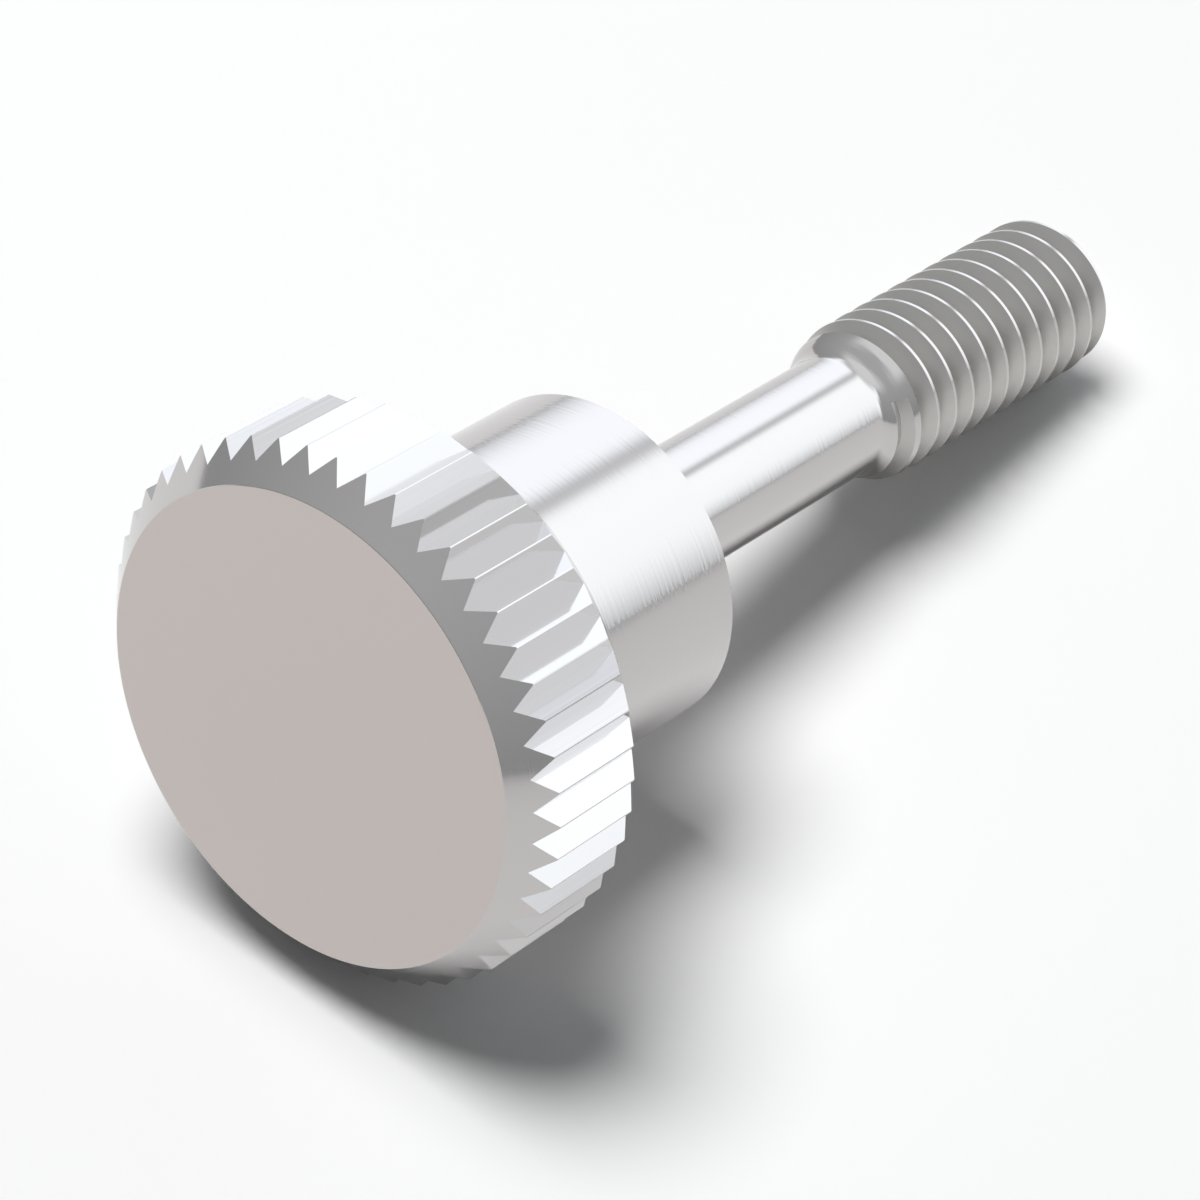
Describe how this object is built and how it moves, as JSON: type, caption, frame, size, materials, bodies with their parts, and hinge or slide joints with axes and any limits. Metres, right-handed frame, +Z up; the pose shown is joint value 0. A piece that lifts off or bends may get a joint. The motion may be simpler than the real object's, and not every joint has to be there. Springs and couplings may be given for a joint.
{
  "type": "knurled collar screw",
  "caption": "One-piece turned thumb screw: straight-knurled head, plain collar, thin neck and a short metric thread, lying on its knurl and thread tip.",
  "frame": {"origin": "centre of the bounding box's footprint, on the surface the screw lies on", "axes": "+X towards the thread's tip, +Z up, +Y completes the right-handed set; the screw's own axis leans down by about 10.5 degrees towards the tip, because it rests on two knurl teeth and on a thread crest"},
  "size_m": [0.0178, 0.008, 0.0081],
  "materials": {
    "steel": "bright turned stainless steel, fine lathe marks, unplated"
  },
  "bodies": {
    "root": {"collar_screw": "steel"}
  },
  "joints": []
}
